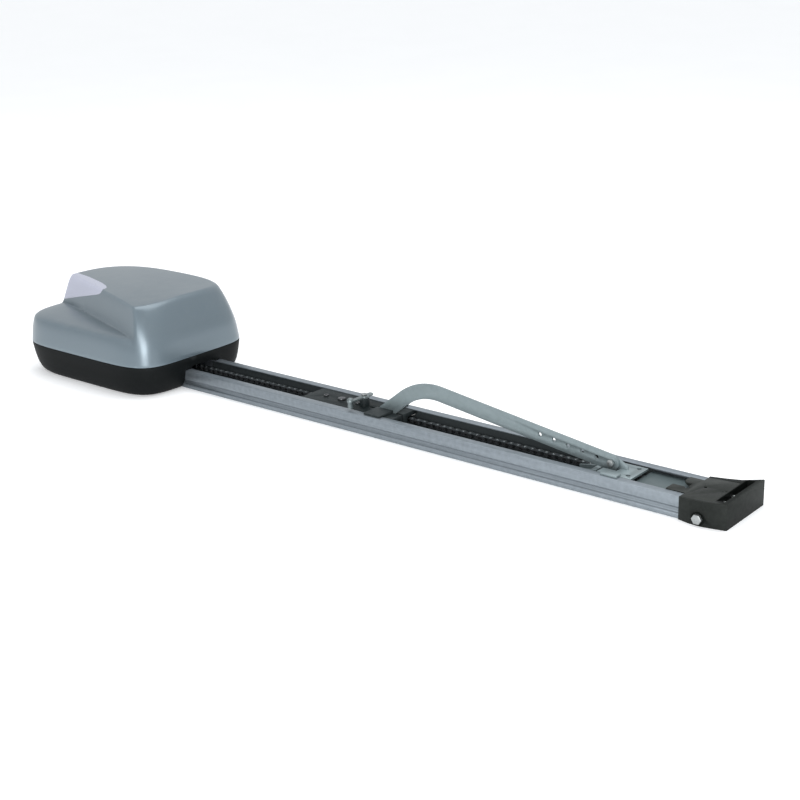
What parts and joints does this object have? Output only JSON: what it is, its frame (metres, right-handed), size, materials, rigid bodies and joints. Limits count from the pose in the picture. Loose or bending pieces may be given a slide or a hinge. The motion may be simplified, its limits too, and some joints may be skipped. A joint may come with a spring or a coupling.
{
  "type": "ceiling door operator",
  "caption": "Rail-guided door operator: power head, C-shaped chain rail, trolley carriage with a bent folding arm and door bracket, and an idler end cap.",
  "frame": {"origin": "on the underside of the rail, on its centreline, where the end cap begins", "axes": "+X along the rail towards the idler end cap, +Z from the ceiling side to the cover side, +Y across the rail away from the hex head of the end bolt"},
  "size_m": [1.377, 0.261, 0.158],
  "materials": {
    "black_plastic": "fine moulded texture",
    "cover_silver": "silver-grey satin paint on moulded plastic",
    "lamp_diffuser": "translucent frosted",
    "galvanised_rail": "galvanised strip with lengthwise streaks",
    "galvanised_arm": "galvanised sheet, satin",
    "zinc_hardware": "bright zinc",
    "lever_zinc": "satin zinc",
    "dark_steel": "oiled dark steel",
    "guide_plastic": "dark low-friction plastic",
    "pad_plastic": "natural acetal",
    "plate_grey": "smooth dark grey plastic",
    "machined_steel": "machined",
    "cast_aluminium": "die cast",
    "wheel_bronze": "bronze",
    "motor_black": "black paint",
    "laminated_steel": "stacked laminations",
    "coil_tape": "taped winding",
    "board_green": "solder mask",
    "board_parts": "moulded parts",
    "relay_blue": "moulded case",
    "pillar_nylon": "nylon",
    "socket_white": "moulded plastic",
    "bulb_glass": "frosted glass"
  },
  "bodies": {
    "opener": {"base_tray": "black_plastic", "cover": "cover_silver", "lamp_lens": "lamp_diffuser", "cover_screws": "zinc_hardware", "rail": "galvanised_rail", "chain_guides": "guide_plastic", "rail_saddle": "machined_steel", "saddle_screws": "zinc_hardware", "gearbox_housing": "cast_aluminium", "gearbox_lid": "cast_aluminium", "gearbox_screws": "zinc_hardware", "shaft_bearings": "machined_steel", "motor_body": "motor_black", "motor_end_bell": "cast_aluminium", "transformer_core": "laminated_steel", "transformer_coil": "coil_tape", "transformer_clamp": "machined_steel", "control_board": "board_green", "board_pillars": "pillar_nylon", "terminal_blocks": "board_parts", "relays": "relay_blue", "capacitor": "relay_blue", "radio_module": "board_parts", "lamp_socket": "socket_white", "lamp_bulb": "bulb_glass", "cable_gland": "black_plastic", "chain_near_run": "dark_steel", "chain_far_run": "dark_steel", "chain_turns": "dark_steel", "travel_stop": "galvanised_arm", "stop_screw": "zinc_hardware", "end_cap": "black_plastic", "cap_plate": "plate_grey", "cap_plate_screw": "plate_grey", "tension_yoke": "machined_steel", "idler_axle": "zinc_hardware", "header_bolt": "zinc_hardware", "header_nut": "zinc_hardware", "tension_screws": "zinc_hardware", "tension_nuts": "zinc_hardware"},
    "worm": {"worm_shaft": "machined_steel"},
    "drive": {"worm_wheel": "wheel_bronze", "output_shaft": "machined_steel", "drive_sprocket": "machined_steel"},
    "idler": {"idler_sprocket": "machined_steel", "idler_bush": "wheel_bronze"},
    "carriage": {"carriage_body": "guide_plastic", "slide_pads": "pad_plastic", "chain_shuttle": "machined_steel", "shuttle_screws": "zinc_hardware", "lever_screw": "zinc_hardware", "arm_pivot_pin": "zinc_hardware", "pivot_circlips": "dark_steel"},
    "latch": {"lock_pin": "zinc_hardware"},
    "lever": {"release_lever": "lever_zinc"},
    "arm": {"arm": "galvanised_arm", "bracket_bolt": "zinc_hardware", "bracket_nut": "zinc_hardware"},
    "bracket": {"door_bracket": "galvanised_arm"}
  },
  "joints": [
    {"name": "carriage_travel", "type": "slide", "parent": "opener", "child": "carriage", "axis": [1, 0, 0], "range_m": [-0.25, 0.045]},
    {"name": "arm_swing", "type": "hinge", "parent": "carriage", "child": "arm", "pos_m": [-0.56, 0, 0.019], "axis": [0, -1, 0], "range_deg": [0, 60]},
    {"name": "bracket_swing", "type": "hinge", "parent": "arm", "child": "bracket", "pos_m": [-0.1303, 0, 0.038], "axis": [0, -1, 0], "range_deg": [0, 90]},
    {"name": "release_turn", "type": "hinge", "parent": "carriage", "child": "lever", "pos_m": [-0.591, 0, 0.044], "axis": [0, 0, -1], "range_deg": [0, 40]},
    {"name": "latch_lift", "type": "slide", "parent": "carriage", "child": "latch", "axis": [0, 0, 1], "range_m": [0, 0.0083]},
    {"name": "drive_turn", "type": "hinge", "parent": "opener", "child": "drive", "pos_m": [-1.062, 0, 0.017], "axis": [0, 0, 1], "range_deg": [-800, 160]},
    {"name": "idler_turn", "type": "hinge", "parent": "opener", "child": "idler", "pos_m": [0.002, 0, 0.017], "axis": [0, 0, 1], "range_deg": [-800, 160]},
    {"name": "worm_turn", "type": "hinge", "parent": "opener", "child": "worm", "pos_m": [-1.062, 0.0384, 0.0583], "axis": [1, 0, 0], "range_deg": [-12000, 2400]}
  ],
  "couplings": [
    {"joint": "drive_turn", "follows": "carriage_travel", "rad_per_m": 53.861},
    {"joint": "idler_turn", "follows": "carriage_travel", "rad_per_m": 53.861},
    {"joint": "worm_turn", "follows": "carriage_travel", "rad_per_m": 807.92},
    {"joint": "release_turn", "follows": "latch_lift", "rad_per_m": 83.333}
  ]
}
